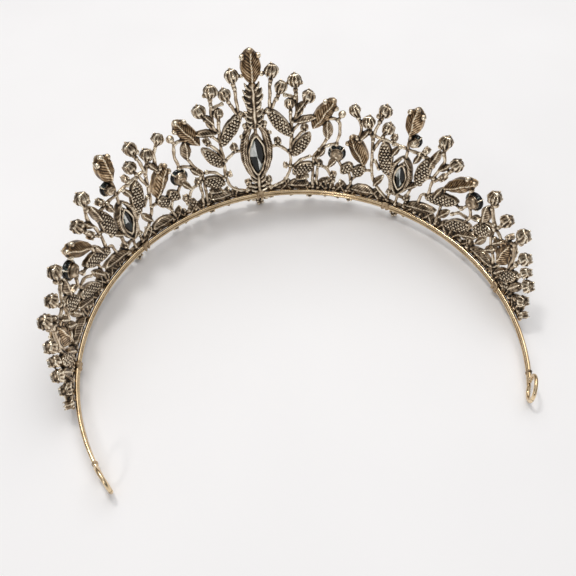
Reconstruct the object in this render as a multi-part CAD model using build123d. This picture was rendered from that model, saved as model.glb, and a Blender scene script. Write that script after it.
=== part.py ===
from build123d import *
import os
from math import atan2, cos, degrees, hypot, radians, sin, sqrt

# Filigree tiara: a doubled wire band carries five cast filigree panels set with stones.
# The model is made around the band's own axis, then stood on its feet at the end.

# ------------------------------------------------------------------ driving dimensions (mm)
BAND_R = 66.0            # centre line of both band wires
WIRE_R = 0.55            # band wire radius
WIRE_STEP = 1.14         # the two runs lie one above the other
EYE_R = 3.65             # centre line of the ribbon eyes
EYE_LIFT = 2.9           # height of an eye's centre above the lower run
EYE_ARC = 116.3          # degrees from the middle to each eye's centre
NECK_ARC = 110.8         # degrees from the middle to each solder sleeve
WALL_R = BAND_R + WIRE_R + 0.1   # back plane of the castings, in front of the band
WALL_LEAN = 0.05         # how far the castings lean out per mm of height
STAND_TILT = 2.15        # degrees: it rests on its hanging cups and on the two eyes

STEM = 1.0               # width of a cast stem
STEM_DEPTH = 1.1
LEAF_DEPTH = 1.4
RAIL_DEPTH = 1.0
RAIL_HEIGHT = 1.1
CUP_DEPTH = 2.4
GEM_SEAT = 0.8           # depth of the pocket that a stone sits in
GEM_CROWN = 0.7          # how far a stone stands out of its pocket
RIM = 0.45               # metal left round a stone
SMALLEST_SET_CUP = 1.3   # a smaller cup is plain metal
OPEN_STONE_BACK = 0.4    # how far an open-backed stone stands out behind the casting
CLAW_R = 0.85            # beads that grip the tip of a pointed stone
SOLDER_PLACES = (-96.7, -46.6, 0, 46.6, 96.7)   # one behind each casting

# ------------------------------------------------------------------ layout of the castings
# Every place is (along the band from the middle, height above the band), in mm.
# The right half is listed, and the left half is its mirror image.
# bud:   head centre, lower tip, head radius
# cup:   centre, radius
# leaf:  foot, tip, width (pave is a leaf set with small stones)
# stem:  two or more places in order
# closed: a pointed stone in a setting with a leaf-shaped back: foot, tip, width
# open:   a pointed stone that shows through the casting: foot, tip, width
# round:  a round stone: centre, radius of its setting

CENTRE_SPINE = {
    "bud": [],
    "cup": [((0, -4.9), 1.7)],
    "leaf": [((0, 29.0), (0, 36.6), 4.8), ((0, 36.2), (0, 43.4), 4.8), ((0, 1.2), (0, 8.2), 5.0)],
    "pave": [],
    "stem": [((0, 24.0), (0, 44.0)), ((0, 0.5), (0, 8.0))],
    "bead": [((0, 42.6), 1.2), ((0, 36.3), 1.1)],
    "closed": {"finial_stone": ((0, 43.2), (0, 54.0), 5.8)},
    "open": {"centre_stone": ((0, 7.4), (0, 24.6), 6.4)},
    "round": {},
}
CENTRE_HALF = {
    "bud": [((6.0, 47.0), (5.4, 42.4), 1.9), ((8.7, 41.2), (7.2, 36.8), 1.75),
            ((12.8, 43.4), (13.3, 38.4), 1.9), ((17.2, 37.7), (15.6, 33.6), 1.9),
            ((11.3, 35.2), (11.6, 31.6), 1.5)],
    "cup": [((7.3, 20.4), 1.4), ((16.0, 25.4), 1.45), ((21.1, 10.8), 1.5), ((24.2, 3.4), 1.3),
            ((26.4, 6.2), 1.4), ((3.6, 4.2), 1.4), ((9.7, 10.0), 1.0), ((4.2, -2.8), 1.3),
            ((11.7, -2.7), 1.1), ((18.3, -3.0), 1.5), ((24.0, -2.7), 1.1)],
    "leaf": [((13.0, 28.2), (19.4, 30.0), 2.4), ((10.6, 2.2), (17.6, 2.2), 3.6),
             ((23.8, 22.0), (23.4, 28.6), 3.4), ((3.0, 8.0), (2.0, 28.6), 5.4)],
    "pave": [((11.4, 23.0), (4.6, 33.0), 4.4), ((12.5, 14.7), (17.8, 23.4), 4.0),
             ((12.3, 7.0), (19.2, 10.8), 4.6)],
    "stem": [((4.9, 33.2), (5.2, 38.0), (5.4, 42.6)), ((0, 33.4), (4.9, 33.2), (7.2, 37.0)),
             ((13.3, 38.6), (13.4, 31.0), (12.2, 28.4)), ((15.6, 34.0), (14.4, 30.8), (12.2, 28.4)),
             ((3.0, 46.2), (4.8, 46.4)), ((12.2, 28.4), (17.0, 29.4), (20.0, 30.0)),
             ((11.5, 32.0), (11.9, 24.0), (11.4, 17.4), (11.4, 10.0), (10.0, 4.9), (7.4, 2.4),
              (4.6, 1.2)),
             ((4.0, 18.4), (7.3, 19.0), (10.9, 16.2)), ((16.0, 25.0), (12.9, 21.0), (11.5, 17.0)),
             ((12.4, 9.6), (14.6, 12.4), (18.0, 14.2)), ((11.4, 10.4), (9.7, 10.0)),
             ((19.2, 0.8), (19.2, 6.0), (19.5, 14.2), (21.4, 17.4), (23.9, 22.6)),
             ((21.2, 17.2), (24.8, 19.6), (27.0, 20.2)), ((23.0, 29.6), (26.6, 29.4), (27.6, 25.5),
              (26.8, 20.0)), ((26.6, 29.4), (27.9, 31.4)), ((21.0, 10.8), (20.6, 5.0), (21.2, 0.8)),
             ((20.9, 10.6), (24.0, 9.2), (26.6, 4.2)), ((19.6, 14.0), (21.1, 11.0)),
             ((24.2, 0.8), (24.2, 3.4), (26.4, 6.2))],
    "bead": [((27.9, 31.8), 1.3), ((3.0, 27.4), 0.9), ((4.3, 33.1), 1.1), ((11.1, 42.6), 0.8),
             ((14.7, 42.4), 0.8)],
    "closed": {"shoulder_stone": ((18.7, 25.6), (25.2, 36.4), 5.0)},
    "open": {},
    "round": {},
}
SIDE = {
    "bud": [((31.7, 34.0), (33.2, 31.0), 1.7), ((36.4, 30.6), (37.4, 26.6), 1.9),
            ((41.2, 35.8), (39.9, 31.0), 1.9), ((43.0, 29.9), (41.5, 26.0), 1.8),
            ((61.8, 32.6), (62.0, 28.0), 1.95), ((67.2, 26.8), (65.4, 22.6), 1.9)],
    "cup": [((45.2, 26.6), 1.35), ((56.1, 26.0), 1.35), ((63.6, 19.2), 1.4), ((49.7, -4.0), 1.6),
            ((45.5, -2.7), 1.2), ((53.6, -2.7), 1.2), ((28.6, -2.7), 1.2), ((32.8, -3.0), 1.5),
            ((66.0, -2.5), 0.9), ((46.8, 4.6), 1.4), ((53.0, 4.4), 1.4)],
    "leaf": [((33.3, 2.4), (41.4, 2.6), 4.2), ((53.4, 2.6), (64.4, 5.4), 3.4),
             ((58.6, 21.0), (60.6, 28.4), 2.8), ((52.4, 9.2), (56.0, 12.6), 2.0),
             ((47.8, 6.6), (47.6, 20.4), 3.2), ((51.8, 6.6), (52.0, 20.4), 3.2)],
    "pave": [((29.2, 8.6), (32.4, 12.4), 3.6), ((33.6, 8.2), (36.6, 12.4), 4.0),
             ((44.6, 12.4), (42.6, 24.2), 4.8), ((55.8, 12.6), (58.0, 23.6), 4.8),
             ((60.2, 9.0), (71.0, 14.0), 4.5), ((69.4, 3.0), (78.2, 8.4), 4.4)],
    "stem": [((33.0, 31.6), (34.3, 28.4), (34.2, 22.6)), ((27.0, 13.6), (24.4, 10.2)),
             ((27.6, 13.6), (30.0, 9.6)), ((31.6, 0.8), (32.8, 5.0), (31.4, 9.6)),
             ((37.2, 27.0), (38.7, 24.0)), ((39.9, 31.6), (38.6, 25.5), (38.9, 19.3),
              (39.8, 10.5), (42.0, 5.6), (46.4, 1.4)), ((41.6, 26.4), (39.1, 20.2)),
             ((36.4, 13.8), (36.0, 10.6), (32.8, 5.4)), ((39.6, 11.6), (35.6, 10.6)),
             ((38.7, 25.8), (42.7, 25.2), (46.4, 24.8), (50.4, 24.4), (54.6, 24.3), (59.4, 23.8)),
             ((50.3, 30.6), (50.3, 18.6)), ((45.2, 26.2), (45.4, 24.6)), ((56.1, 25.8), (56.0, 24.0)),
             ((44.6, 13.0), (46.6, 8.6), (46.8, 1.0)), ((55.6, 13.0), (53.6, 8.0), (53.0, 1.0)),
             ((62.0, 28.4), (62.9, 25.4), (60.9, 18.0), (60.4, 9.4)),
             ((65.5, 23.0), (63.6, 19.2), (61.4, 17.0)), ((61.2, 9.6), (58.2, 9.0), (57.4, 0.8)),
             ((65.8, 16.6), (65.0, 12.0)), ((66.0, 10.4), (65.6, 0.8)),
             ((69.4, 12.8), (72.6, 12.8), (75.0, 15.6)), ((76.0, 15.0), (76.8, 11.4), (74.4, 6.4)),
             ((69.9, 4.0), (69.6, 0.8)), ((59.4, 23.8), (59.6, 22.0)), ((50.0, 7.4), (49.8, 0.8)),
             ((46.8, 4.6), (53.0, 4.4)), ((39.0, 3.0), (39.0, 0.8))],
    "bead": [((33.5, 23.6), 0.9), ((39.4, 33.4), 0.9), ((60.4, 30.2), 0.9)],
    "closed": {"inner_stone": ((37.0, 13.2), (31.4, 23.4), 5.2),
               "side_finial_stone": ((50.2, 29.8), (50.9, 39.2), 5.4),
               "outer_stone": ((65.4, 16.2), (74.6, 24.0), 4.6)},
    "open": {"medallion_drop_stone": ((49.7, 7.2), (49.7, 18.2), 5.0)},
    "round": {"inner_round_stone": ((27.0, 15.2), 2.9), "medallion_stone": ((51.6, 27.2), 2.2),
              "outer_round_stone": ((75.6, 17.0), 3.0)},
}
END = {
    "bud": [((82.5, 25.0), (83.0, 20.4), 1.95), ((89.5, 21.4), (87.8, 16.8), 1.85),
            ((96.9, 22.4), (95.4, 17.4), 1.95), ((101.2, 17.0), (99.0, 12.4), 1.8),
            ((103.8, 13.8), (102.0, 10.0), 1.5), ((106.9, 11.4), (104.4, 7.8), 1.7),
            ((108.0, 5.6), (105.6, 3.6), 1.6)],
    "cup": [((97.2, -2.8), 1.5), ((79.4, -2.5), 0.9), ((104.5, -2.5), 0.9), ((92.4, 17.0), 1.2),
            ((110.8, 2.2), 1.3), ((99.6, 3.2), 1.5)],
    "leaf": [((82.2, 14.4), (81.6, 20.6), 3.4), ((81.6, 2.2), (91.6, 3.0), 3.8),
             ((101.4, 3.0), (104.4, 8.8), 2.8), ((77.6, 12.8), (81.0, 14.0), 1.8)],
    "pave": [((79.8, 9.4), (86.0, 13.8), 4.6), ((96.2, 3.4), (101.6, 9.6), 3.8)],
    "stem": [((83.0, 20.8), (86.0, 16.4)), ((82.2, 14.8), (85.4, 15.6), (89.4, 14.6), (91.4, 13.0)),
             ((91.0, 13.8), (95.6, 17.6)), ((87.8, 17.0), (86.8, 15.2)),
             ((86.2, 15.4), (87.2, 9.6), (90.4, 5.4), (91.4, 0.8)), ((80.2, 9.8), (79.8, 0.8)),
             ((95.6, 17.2), (97.3, 12.0), (97.2, 6.0), (97.0, 0.8)), ((92.4, 17.0), (92.6, 14.6)),
             ((99.1, 12.8), (98.4, 8.0), (98.0, 0.8)), ((102.1, 10.4), (99.0, 6.0)),
             ((104.6, 8.2), (103.0, 5.0), (102.4, 0.8)), ((105.9, 4.0), (103.0, 0.9)),
             ((110.8, 2.2), (107.0, 0.9)), ((80.6, 13.8), (82.4, 13.0))],
    "bead": [((81.4, 22.8), 0.9), ((84.0, 22.8), 0.9), ((97.4, 19.6), 0.9)],
    "closed": {"end_stone": ((92.6, 5.8), (94.4, 15.6), 5.8)},
    "open": {},
    "round": {},
}
# From and to, along the band, of the strip at the foot of each casting.
CENTRE_SPAN = (-26.6, 26.6)
SIDE_SPAN = (27.0, 76.4)
END_SPAN = (76.8, 110.6)


# ------------------------------------------------------------------ placing on the wall
def spot(u, v, turn=0.0):
    """A place on the castings' back plane: x along the band, y up, z in towards the head."""
    angle = u / WALL_R
    radius = WALL_R + WALL_LEAN * max(v, 0.0)
    origin = (radius * sin(angle), radius * cos(angle), v)
    inward = (-sin(angle), -cos(angle), WALL_LEAN)
    return Location(Plane(origin, x_dir=(cos(angle), -sin(angle), 0), z_dir=inward)) * Rot(0, 0, turn)


def between(start, end):
    """Length, turn from upright and middle of the line from one place to another."""
    du, dv = end[0] - start[0], end[1] - start[1]
    middle = ((start[0] + end[0]) / 2, (start[1] + end[1]) / 2)
    return hypot(du, dv), degrees(atan2(dv, du)) - 90, middle


def plate(face, front, back):
    """A flat shape made solid from `front` mm before the back plane to `back` mm behind it."""
    return Pos(0, 0, -front) * extrude(face, amount=front + back)


def lens(length, width):
    """A pointed leaf outline, upright."""
    half_l, half_w = length / 2, width / 2
    right = ThreePointArc((0, -half_l), (half_w, 0), (0, half_l))
    left = ThreePointArc((0, half_l), (-half_w, 0), (0, -half_l))
    return make_face([right, left])


# ------------------------------------------------------------------ cast elements
def stem(points):
    """Straight bars, each run on a little past its ends so that they join."""
    bars = []
    for start, end in zip(points, points[1:]):
        length, turn, middle = between(start, end)
        bar = plate(Rectangle(STEM, length + 0.6 * STEM), STEM_DEPTH, 0)
        bars.append(spot(*middle, turn) * bar)
    return bars


def leaf(foot, tip, width, depth=LEAF_DEPTH):
    """A leaf blade with a midrib that runs on into its neighbours."""
    length, turn, middle = between(foot, tip)
    blade = plate(lens(length, width), depth, 0.2)
    midrib = plate(Rectangle(0.9 * STEM, length + STEM), STEM_DEPTH, 0.35)
    return [spot(*middle, turn) * shape for shape in (blade, midrib)]


def cup(centre, radius):
    """A round cup that opens to the front."""
    return spot(*centre) * Pos(0, 0, -CUP_DEPTH / 2 + 0.1) * Cone(radius, 0.75 * radius, CUP_DEPTH)


def bud_calyx(head, tip, radius):
    """The tapering body between a bud's cup and its stem."""
    length, turn, _ = between(head, tip)
    outline = Polygon((-0.8 * radius, 0), (0.8 * radius, 0), (0.45, length + 0.3),
                      (-0.45, length + 0.3), align=None)
    return spot(*head, turn) * plate(outline, 1.7, 0.1)


def bead(centre, radius):
    return spot(*centre) * Pos(0, 0, -0.6) * Cylinder(radius, 1.7 * radius)


def hanger(centre):
    """The short bar that joins a cup under the band to its casting."""
    return stem([(centre[0], 0.8), centre])[0]


def setting(foot, tip, width):
    """A closed setting for a pointed stone, with three claws round its tip."""
    length, turn, middle = between(foot, tip)
    shoulder = 0.36 * length
    half = width / 2 * (1 - (2 * shoulder / length) ** 2)
    claws = [spot(*middle, turn) * Pos(x, y, -1.5) * Cylinder(CLAW_R, 2.2)
             for x, y in ((-half, shoulder), (0, length / 2 - 0.2), (half, shoulder))]
    return leaf(foot, tip, width, depth=CUP_DEPTH) + claws


def rail(first, last):
    """The strip along the foot of a casting, from one arc length to another."""
    start, sweep = 90 - degrees(last / WALL_R), degrees((last - first) / WALL_R)
    section = Pos(WALL_R + RAIL_DEPTH / 2, 0, RAIL_HEIGHT / 2 + 0.15)
    profile = section * (Plane.XZ * Rectangle(RAIL_DEPTH, RAIL_HEIGHT))
    return Rot(0, 0, start) * revolve(profile, Axis.Z, sweep)


# ------------------------------------------------------------------ stones
def round_gem(centre, radius):
    """A stone in a cup: a girdle in the pocket and a flat-topped crown."""
    front = -CUP_DEPTH + 0.1
    girdle = Cylinder(radius - RIM, GEM_SEAT, align=(Align.CENTER, Align.CENTER, Align.MIN))
    crown = Cone(0.6 * (radius - RIM), radius - RIM, GEM_CROWN,
                 align=(Align.CENTER, Align.CENTER, Align.MAX))
    return spot(*centre) * Pos(0, 0, front) * (girdle + crown)


def navette_gem(foot, tip, width, back):
    """A pointed stone: its girdle reaches `back`, and its crown rises to the front."""
    length, turn, middle = between(foot, tip)
    outline = lens(length - 2.2 * RIM - 0.6, width - 2 * RIM)
    table = lens(0.7 * (length - 2.2 * RIM - 0.6), 0.6 * (width - 2 * RIM))
    girdle = Pos(0, 0, -CUP_DEPTH) * extrude(outline, amount=CUP_DEPTH + back)
    crown = loft([Pos(0, 0, -CUP_DEPTH) * outline, Pos(0, 0, -CUP_DEPTH - GEM_CROWN) * table],
                 ruled=True)
    return spot(*middle, turn) * (girdle + crown)


# ------------------------------------------------------------------ whole castings
def flipped(entry):
    """The same layout on the other side of the middle."""
    if isinstance(entry, dict):
        return {name: flipped(value) for name, value in entry.items()}
    if isinstance(entry, list):
        return [flipped(value) for value in entry]
    if isinstance(entry, tuple):
        if not isinstance(entry[0], tuple):
            return (-entry[0], entry[1])
        return tuple(flipped(value) for value in entry)
    return entry


def cast_elements(layout):
    """The metal of one layout, as solids that overlap."""
    leaves = layout["leaf"] + layout["pave"]
    metal = [shape for entry in leaves for shape in leaf(*entry)]
    metal += [shape for entry in layout["closed"].values() for shape in setting(*entry)]
    metal += [shape for entry in layout["open"].values() for shape in leaf(*entry, depth=CUP_DEPTH)]
    metal += [cup(*entry) for entry in layout["cup"] + list(layout["round"].values())]
    metal += [cup(head, radius) for head, tip, radius in layout["bud"]]
    metal += [bud_calyx(*entry) for entry in layout["bud"]]
    metal += [hanger(centre) for centre, radius in layout["cup"] if centre[1] < 0]
    metal += [bar for points in layout["stem"] for bar in stem(points)]
    metal += [bead(*entry) for entry in layout["bead"]]
    return metal


def bud_gems(layout):
    """The small round stones: one in each bud and in each cup that is wide enough."""
    seats = [(centre, radius) for centre, radius in layout["cup"] if radius > SMALLEST_SET_CUP]
    seats += [(head, radius) for head, tip, radius in layout["bud"]]
    return [round_gem(*seat) for seat in seats]


def pave_gems(layout):
    """Three small stones along each pavé leaf, largest in the middle."""
    stones = []
    for foot, tip, width in layout["pave"]:
        for share, size in ((0.24, 0.17), (0.5, 0.24), (0.76, 0.17)):
            place = tuple(a + share * (b - a) for a, b in zip(foot, tip))
            chip = Cone(0.6 * size * width, size * width, 0.8)
            stones.append(spot(*place) * Pos(0, 0, -LEAF_DEPTH) * chip)
    return stones


def large_gems(prefix, layout):
    """The named stones of one layout."""
    gems = {prefix + name: navette_gem(*entry, GEM_SEAT - CUP_DEPTH)
            for name, entry in layout["closed"].items()}
    gems |= {prefix + name: navette_gem(*entry, OPEN_STONE_BACK)
             for name, entry in layout["open"].items()}
    gems |= {prefix + name: round_gem(*entry) for name, entry in layout["round"].items()}
    return gems


def joined(solids):
    """One solid from many; anything left loose is named, because it would be lost."""
    pieces = sorted(solids[0].fuse(*solids[1:]).solids(), key=lambda piece: -piece.volume)
    for loose in pieces[1:]:
        print("   loose piece at", loose.center(), "volume", round(loose.volume, 3))
    return pieces[0]


def build_panel(name, span, sides):
    """One casting and its stones, from (name prefix, layout) pairs."""
    metal, buds, chips, large = [rail(*span)], [], [], {}
    for prefix, layout in sides:
        metal += cast_elements(layout)
        buds += bud_gems(layout)
        chips += pave_gems(layout)
        large |= large_gems(prefix, layout)
    seated = joined(metal).cut(*large.values(), *buds, *chips)
    panel = {f"{name}_casting": [seated.solids().sort_by(SortBy.VOLUME)[-1]],
             f"{name}_bud_stones": buds, f"{name}_pave_stones": chips}
    return panel | {gem_name: [gem] for gem_name, gem in large.items()}


# ------------------------------------------------------------------ band
LOWER = -1.5 * WIRE_STEP     # height of each run's centre line
UPPER = -0.5 * WIRE_STEP


def band_run(height):
    """One run of band wire, ending on the centre lines of the two eyes."""
    drop = LOWER + EYE_LIFT - height
    half_arc = EYE_ARC - degrees(sqrt(EYE_R**2 - drop**2) / BAND_R)
    circle = Pos(BAND_R, 0, height) * (Plane.XZ * Circle(WIRE_R))
    return Rot(0, 0, 90 - half_arc) * revolve(circle, Axis.Z, 2 * half_arc)


def eye(side):
    """A ribbon eye: it curls up from the lower run."""
    reach = side * radians(EYE_ARC)
    centre = (BAND_R * sin(reach), BAND_R * cos(reach), LOWER + EYE_LIFT)
    outward = (sin(reach), cos(reach), 0)
    return Location(Plane(centre, x_dir=(0, 0, 1), z_dir=outward)) * Torus(EYE_R, WIRE_R)


eyes = eye(1), eye(-1)
parts = {"lower_band_wire": [joined([band_run(LOWER), *eyes])]}
parts["upper_band_wire"] = [band_run(UPPER).cut(*eyes).solids().sort_by(SortBy.VOLUME)[-1]]

# ------------------------------------------------------------------ the five castings
left_half, left_side, left_end = flipped(CENTRE_HALF), flipped(SIDE), flipped(END)
parts |= build_panel("centre", CENTRE_SPAN,
                     [("", CENTRE_SPINE), ("right_", CENTRE_HALF), ("left_", left_half)])
parts |= build_panel("right_side", SIDE_SPAN, [("right_", SIDE)])
parts |= build_panel("right_end", END_SPAN, [("right_", END)])
parts |= build_panel("left_side", (-SIDE_SPAN[1], -SIDE_SPAN[0]), [("left_", left_side)])
parts |= build_panel("left_end", (-END_SPAN[1], -END_SPAN[0]), [("left_", left_end)])


# ------------------------------------------------------------------ solder
def solder(u):
    """A saddle of solder behind a casting's foot that holds both band wires."""
    block = spot(u, (LOWER + UPPER) / 2) * Pos(0, 0, 0.72) * Box(2.4, 3.0, 1.4)
    return block.cut(*wires).solids()


def sleeve(side):
    """A wrap of solder that pinches the two runs together before an eye."""
    angle = 90 - side * NECK_ARC
    wrap = Pos(BAND_R, 0, (LOWER + UPPER) / 2) * Box(2.1, 1.6, 3.2)
    return (Rot(0, 0, angle) * wrap).cut(*wires).solids()


wires = parts["lower_band_wire"] + parts["upper_band_wire"]
parts["casting_solder_joints"] = [piece for u in SOLDER_PLACES for piece in solder(u)]
parts["neck_solder_wraps"] = sleeve(1) + sleeve(-1)

# ------------------------------------------------------------------ stand it up and write it
tilt = Rot(STAND_TILT, 0, 0)
standing = {name: [tilt * solid for solid in solids] for name, solids in parts.items()}
box = Compound([solid for solids in standing.values() for solid in solids]).bounding_box()
to_origin = Pos(-(box.min.X + box.max.X) / 2, -(box.min.Y + box.max.Y) / 2, -box.min.Z)

os.makedirs("parts", exist_ok=True)
for name, solids in standing.items():
    placed = [to_origin * solid for solid in solids]
    shape = placed[0] if len(placed) == 1 else Compound(placed)
    export_step(shape, f"parts/{name}.step")
print("size", round(box.size.X, 2), round(box.size.Y, 2), round(box.size.Z, 2))
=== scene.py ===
from math import atan2, cos, hypot, inf, pi, radians, sin, sqrt

import bpy
import numpy as np
from mathutils import Matrix, Vector


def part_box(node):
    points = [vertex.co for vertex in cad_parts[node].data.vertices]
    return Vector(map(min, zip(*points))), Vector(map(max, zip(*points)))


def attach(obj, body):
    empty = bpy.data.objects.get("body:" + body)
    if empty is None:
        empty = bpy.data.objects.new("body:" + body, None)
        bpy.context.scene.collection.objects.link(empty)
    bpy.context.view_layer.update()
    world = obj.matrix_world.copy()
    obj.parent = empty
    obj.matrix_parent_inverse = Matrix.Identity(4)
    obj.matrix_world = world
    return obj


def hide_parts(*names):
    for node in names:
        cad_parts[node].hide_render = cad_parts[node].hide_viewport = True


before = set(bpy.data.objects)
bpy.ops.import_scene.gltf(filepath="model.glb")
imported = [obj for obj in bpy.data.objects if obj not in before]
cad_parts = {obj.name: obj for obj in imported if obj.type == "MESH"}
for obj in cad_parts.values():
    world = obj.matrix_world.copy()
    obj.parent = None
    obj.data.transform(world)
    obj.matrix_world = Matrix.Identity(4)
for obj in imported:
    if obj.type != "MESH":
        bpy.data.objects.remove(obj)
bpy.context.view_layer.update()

# A filigree tiara. Its five cast panels are modelled flat, in millimetres, as (u, v, w):
# u along the band from the middle, v above the band, w in towards the head. Each panel is fused,
# aged, then bent onto the wall of the tiara and stood up as the CAD model is.

# ------------------------------------------------------------------ sizes, in mm
MM = 0.001
WIRE_R = 0.55
WIRE_STEP = 1.14
LOWER, UPPER = -1.5 * WIRE_STEP, -0.5 * WIRE_STEP  # heights of the two runs of band wire
EYE_R = 3.65
EYE_LIFT = 2.9  # eye centre above the lower run
EYE_GAP = 0.62  # angle left open where an eye meets the upper run
EYE_ARC = radians(116.3)  # from the middle of the band to each eye
NECK_ARC = radians(110.8)  # from the middle to each wrap of solder
BAND_STEPS, BAND_SIDES = 480, 32  # along and round a run of band wire
WALL_LEAN = 0.05  # outward lean of the castings, mm per mm
STAND_TILT = radians(2.15)
STEM_R = 0.56
RAIL_R = 0.62
CUP_DEPTH = 2.4
RIM = 0.45  # metal round a stone
SMALLEST_SET_CUP = 1.3  # a cup this small or smaller has no stone
PAVE_STONES = ((0.24, 0.17), (0.5, 0.24), (0.76, 0.17))  # place and size, as shares of the leaf
QUARTERS = [radians(angle) for angle in (0, 90, 180, 270)]
DIAGONALS = [radians(angle) for angle in (45, 135, 225, 315)]
SOLDER_PLACES = (-96.7, -46.6, 0, 46.6, 96.7)
SPINE_HALF = 4.0  # reach of the middle spine on each side
SIDE_MIDDLE = 49.0  # where a side casting is parted in two pieces
VOXEL = 0.188  # cell that fuses a casting
SOLDER_VOXEL = 0.14
CELL = 0.16  # grid of a leaf before it is fused
MIDDLE_W = -0.7  # half way through the thickness of a casting

band_low, band_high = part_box("upper_band_wire")
BAND_R = (band_high[0] - band_low[0]) / 2 / MM - WIRE_R
WALL_R = BAND_R + WIRE_R + 0.1
SHIFT_Y = band_high[1] / MM - (BAND_R * cos(STAND_TILT) - UPPER * sin(STAND_TILT) + WIRE_R)
SHIFT_Z = band_high[2] / MM - (BAND_R * sin(STAND_TILT) + UPPER * cos(STAND_TILT) + WIRE_R)

# ------------------------------------------------------------------ layout of the castings
# Every place is (u, v) in mm. The right half is listed, and the left half is its mirror image.
# bud: head centre, lower tip, head radius
# cup, bead: centre, radius
# leaf: foot, tip, width (pave is a leaf set with small stones)
# stem: two or more places in order
# closed: a pointed stone in a setting with a leaf-shaped back: foot, tip, width
# open: a pointed stone that shows through the casting: foot, tip, width
# round: a round stone: centre, radius of its setting
CENTRE_SPINE = {
    "bud": [],
    "cup": [((0, -4.9), 1.7)],
    "leaf": [],
    "pave": [],
    "stem": [((0, 24.0), (0, 44.0)), ((0, 0.5), (0, 8.0))],
    "bead": [((0, 42.6), 1.2), ((0, 36.3), 1.1)],
    "closed": {"finial_stone": ((0, 43.2), (0, 54.0), 5.8)},
    "open": {"centre_stone": ((0, 7.4), (0, 24.6), 6.4)},
    "round": {},
}
CENTRE_HALF = {
    "bud": [((6.0, 47.0), (5.4, 42.4), 1.9), ((8.7, 41.2), (7.2, 36.8), 1.75),
            ((12.8, 43.4), (13.3, 38.4), 1.9), ((17.2, 37.7), (15.6, 33.6), 1.9),
            ((11.3, 35.2), (11.6, 31.6), 1.5)],
    "cup": [((7.3, 20.4), 1.4), ((16.0, 25.4), 1.45), ((21.1, 10.8), 1.5), ((24.2, 3.4), 1.3),
            ((26.4, 6.2), 1.4), ((3.6, 4.2), 1.4), ((9.7, 10.0), 1.0), ((4.2, -2.8), 1.3),
            ((11.7, -2.7), 1.1), ((18.3, -3.0), 1.5), ((24.0, -2.7), 1.1)],
    "leaf": [((13.0, 28.2), (19.4, 30.0), 2.4), ((10.6, 2.2), (17.6, 2.2), 3.6),
             ((23.8, 22.0), (23.4, 28.6), 3.4)],
    "pave": [((11.4, 23.0), (4.6, 33.0), 4.4), ((12.5, 14.7), (17.8, 23.4), 4.0),
             ((12.3, 7.0), (19.2, 10.8), 4.6)],
    "stem": [((4.9, 33.2), (5.2, 38.0), (5.4, 42.6)), ((0, 33.4), (4.9, 33.2), (7.2, 37.0)),
             ((13.3, 38.6), (13.4, 31.0), (12.2, 28.4)), ((15.6, 34.0), (14.4, 30.8), (12.2, 28.4)),
             ((3.0, 46.2), (4.8, 46.4)), ((12.2, 28.4), (17.0, 29.4), (20.0, 30.0)),
             ((11.5, 32.0), (11.9, 24.0), (11.4, 17.4), (11.4, 10.0), (10.0, 4.9), (7.4, 2.4),
              (4.6, 1.2)),
             ((4.0, 18.4), (7.3, 19.0), (10.9, 16.2)), ((16.0, 25.0), (12.9, 21.0), (11.5, 17.0)),
             ((12.4, 9.6), (14.6, 12.4), (18.0, 14.2)), ((11.4, 10.4), (9.7, 10.0)),
             ((19.2, 0.8), (19.2, 6.0), (19.5, 14.2), (21.4, 17.4), (23.9, 22.6)),
             ((21.2, 17.2), (24.8, 19.6), (27.0, 20.2)), ((23.0, 29.6), (26.6, 29.4), (27.6, 25.5),
              (26.8, 20.0)), ((26.6, 29.4), (27.9, 31.4)), ((21.0, 10.8), (20.6, 5.0), (21.2, 0.8)),
             ((20.9, 10.6), (24.0, 9.2), (26.6, 4.2)), ((19.6, 14.0), (21.1, 11.0)),
             ((24.2, 0.8), (24.2, 3.4), (26.4, 6.2))],
    "bead": [((27.9, 31.8), 1.3), ((3.0, 27.4), 0.9), ((4.3, 33.1), 1.1), ((11.1, 42.6), 0.8),
             ((14.7, 42.4), 0.8)],
    "closed": {"shoulder_stone": ((18.7, 25.6), (25.2, 36.4), 5.0)},
    "open": {},
    "round": {},
}
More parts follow.
